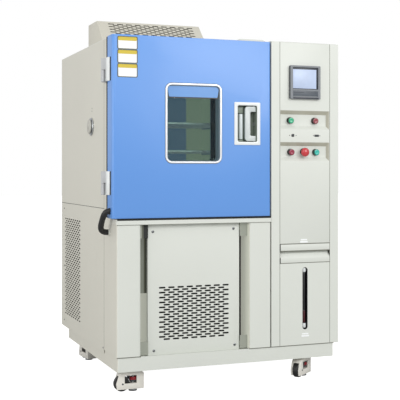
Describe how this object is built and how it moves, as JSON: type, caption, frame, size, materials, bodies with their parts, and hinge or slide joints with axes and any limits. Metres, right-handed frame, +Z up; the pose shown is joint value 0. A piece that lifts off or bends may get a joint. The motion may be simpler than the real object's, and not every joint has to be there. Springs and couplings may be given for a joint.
{
  "type": "environmental test chamber",
  "caption": "Floor-standing temperature and humidity test chamber with a hinged windowed door, control column with drawer and gauge, slotted vent panels and levelling casters.",
  "frame": {"origin": "on the floor, at the middle of the bounding box's footprint", "axes": "+Z up, -Y out of the front, +X to the viewer's right; the rear lies at +Y"},
  "size_m": [1.1625, 1.114, 1.69],
  "materials": {
    "body_paint": "satin",
    "door_blue": "satin",
    "hinge_white": "satin",
    "latch_white": "gloss",
    "stainless": "satin",
    "zinc": "satin",
    "bright_trim": "polished",
    "fin_stock": "satin",
    "black_iron": "satin",
    "motor_grey": "matte",
    "foam": "matte",
    "black_plastic": "satin",
    "fan_black": "matte",
    "clear_tube": "polished",
    "pane": "polished",
    "black_rubber": "matte",
    "conduit_black": "satin",
    "plug_grey": "matte",
    "green_cap": "gloss",
    "red_cap": "gloss",
    "caster_cream": "satin",
    "wheel_black": "satin"
  },
  "bodies": {
    "cabinet": {"base_frame": "body_paint", "front_frame": "body_paint", "upper_side_panel": "body_paint", "lower_side_panel": "body_paint", "right_side_panel": "body_paint", "rear_panel": "body_paint", "rear_vent_panel": "body_paint", "roof_panel": "body_paint", "fan_cowl": "body_paint", "front_vent_panel": "body_paint", "chamber_liner": "stainless", "insulation": "foam", "column_post": "body_paint", "control_fascia": "body_paint", "fascia_fittings": "black_plastic", "controller": "black_plastic", "gauge_panel": "body_paint", "sight_gauge": "clear_tube", "drawer_runners": "zinc", "water_tank": "stainless", "compressor": "black_iron", "condenser": "fin_stock", "air_baffle": "stainless", "evaporator_coil": "fin_stock", "fan_motor": "motor_grey", "port_flange": "stainless", "body_hinge_leaves": "hinge_white"},
    "door": {"door_shell": "door_blue", "door_plug": "stainless", "door_gasket": "black_rubber", "window_trim": "bright_trim", "window_glass": "pane", "door_hinge_leaves": "hinge_white", "latch_housing": "latch_white", "door_conduit": "conduit_black"},
    "lever": {"latch_lever": "latch_white"},
    "bolt": {"latch_bolt": "stainless"},
    "drawer": {"fill_drawer": "body_paint"},
    "cable_port_plug": {"port_plug": "plug_grey"},
    "air_fan": {"circulation_fan": "fin_stock"},
    "cooler_fan": {"condenser_fan": "fan_black"},
    "push_green": {"button_green": "green_cap"},
    "push_red": {"button_red": "red_cap"},
    "push_crimson": {"button_crimson": "red_cap"},
    "push_teal": {"button_teal": "green_cap"},
    "stop": {"emergency_stop": "red_cap"},
    "lower_rack": {"shelf_lower": "stainless"},
    "upper_rack": {"shelf_upper": "stainless"},
    "caster_front_left": {"caster_housing_front_left": "caster_cream"},
    "wheel_front_left": {"caster_wheel_front_left": "wheel_black"},
    "foot_front_left": {"levelling_foot_front_left": "zinc"},
    "caster_front_right": {"caster_housing_front_right": "caster_cream"},
    "wheel_front_right": {"caster_wheel_front_right": "wheel_black"},
    "foot_front_right": {"levelling_foot_front_right": "zinc"},
    "caster_rear_left": {"caster_housing_rear_left": "caster_cream"},
    "wheel_rear_left": {"caster_wheel_rear_left": "wheel_black"},
    "foot_rear_left": {"levelling_foot_rear_left": "zinc"},
    "caster_rear_right": {"caster_housing_rear_right": "caster_cream"},
    "wheel_rear_right": {"caster_wheel_rear_right": "wheel_black"},
    "foot_rear_right": {"levelling_foot_rear_right": "zinc"}
  },
  "joints": [
    {"name": "door_hinge", "type": "hinge", "parent": "cabinet", "child": "door", "pos_m": [-0.55425, -0.432, 1.1765], "axis": [0, 0, 1], "range_deg": [-120, 0], "deforming": ["door_conduit"]},
    {"name": "latch_turn", "type": "hinge", "parent": "door", "child": "lever", "pos_m": [0.14075, -0.527, 1.199], "axis": [0, 0, 1], "range_deg": [0, 45]},
    {"name": "bolt_slide", "type": "slide", "parent": "door", "child": "bolt", "axis": [1, 0, 0], "range_m": [-0.008, 0]},
    {"name": "drawer_slide", "type": "slide", "parent": "cabinet", "child": "drawer", "axis": [0, -1, 0], "range_m": [0, 0.2]},
    {"name": "port_plug_pull", "type": "slide", "parent": "cabinet", "child": "cable_port_plug", "axis": [-1, 0, 0], "range_m": [0, 0.12]},
    {"name": "air_fan_spin", "type": "hinge", "parent": "cabinet", "child": "air_fan", "pos_m": [-0.15075, 0.06, 1.3265], "axis": [0, 1, 0], "continuous": true},
    {"name": "cooler_fan_spin", "type": "hinge", "parent": "cabinet", "child": "cooler_fan", "pos_m": [-0.15075, -0.35, 0.355], "axis": [0, 1, 0], "continuous": true},
    {"name": "press_green", "type": "slide", "parent": "cabinet", "child": "push_green", "axis": [0, 1, 0], "range_m": [0, 0.004], "stiffness_N_per_m": 150, "springref_m": -0.002},
    {"name": "press_red", "type": "slide", "parent": "cabinet", "child": "push_red", "axis": [0, 1, 0], "range_m": [0, 0.004], "stiffness_N_per_m": 150, "springref_m": -0.002},
    {"name": "press_crimson", "type": "slide", "parent": "cabinet", "child": "push_crimson", "axis": [0, 1, 0], "range_m": [0, 0.004], "stiffness_N_per_m": 150, "springref_m": -0.002},
    {"name": "press_teal", "type": "slide", "parent": "cabinet", "child": "push_teal", "axis": [0, 1, 0], "range_m": [0, 0.004], "stiffness_N_per_m": 150, "springref_m": -0.002},
    {"name": "press_stop", "type": "slide", "parent": "cabinet", "child": "stop", "axis": [0, 1, 0], "range_m": [0, 0.006]},
    {"name": "lower_rack_slide", "type": "slide", "parent": "cabinet", "child": "lower_rack", "axis": [0, -1, 0], "range_m": [0, 0.045]},
    {"name": "upper_rack_slide", "type": "slide", "parent": "cabinet", "child": "upper_rack", "axis": [0, -1, 0], "range_m": [0, 0.045]},
    {"name": "swivel_front_left", "type": "hinge", "parent": "cabinet", "child": "caster_front_left", "pos_m": [-0.44825, -0.48, 0.095], "axis": [0, 0, 1], "continuous": true},
    {"name": "roll_front_left", "type": "hinge", "parent": "caster_front_left", "child": "wheel_front_left", "pos_m": [-0.48525, -0.48, 0.035], "axis": [0, 1, 0], "continuous": true},
    {"name": "level_front_left", "type": "slide", "parent": "caster_front_left", "child": "foot_front_left", "axis": [0, 0, 1], "range_m": [0, 0.008]},
    {"name": "swivel_front_right", "type": "hinge", "parent": "cabinet", "child": "caster_front_right", "pos_m": [0.40875, -0.48, 0.095], "axis": [0, 0, 1], "continuous": true},
    {"name": "roll_front_right", "type": "hinge", "parent": "caster_front_right", "child": "wheel_front_right", "pos_m": [0.37959, -0.50278, 0.035], "axis": [-0.6157, 0.788, 0], "continuous": true},
    {"name": "level_front_right", "type": "slide", "parent": "caster_front_right", "child": "foot_front_right", "axis": [0, 0, 1], "range_m": [0, 0.008]},
    {"name": "swivel_rear_left", "type": "hinge", "parent": "cabinet", "child": "caster_rear_left", "pos_m": [-0.44825, 0.275, 0.095], "axis": [0, 0, 1], "continuous": true},
    {"name": "roll_rear_left", "type": "hinge", "parent": "caster_rear_left", "child": "wheel_rear_left", "pos_m": [-0.4534, 0.31164, 0.035], "axis": [0.9903, 0.1392, 0], "continuous": true},
    {"name": "level_rear_left", "type": "slide", "parent": "caster_rear_left", "child": "foot_rear_left", "axis": [0, 0, 1], "range_m": [0, 0.008]},
    {"name": "swivel_rear_right", "type": "hinge", "parent": "cabinet", "child": "caster_rear_right", "pos_m": [0.40875, 0.275, 0.095], "axis": [0, 0, 1], "continuous": true},
    {"name": "roll_rear_right", "type": "hinge", "parent": "caster_rear_right", "child": "wheel_rear_right", "pos_m": [0.37398, 0.26234, 0.035], "axis": [-0.342, 0.9397, 0], "continuous": true},
    {"name": "level_rear_right", "type": "slide", "parent": "caster_rear_right", "child": "foot_rear_right", "axis": [0, 0, 1], "range_m": [0, 0.008]}
  ],
  "couplings": [
    {"joint": "bolt_slide", "follows": "latch_turn", "m_per_rad": -0.01}
  ]
}
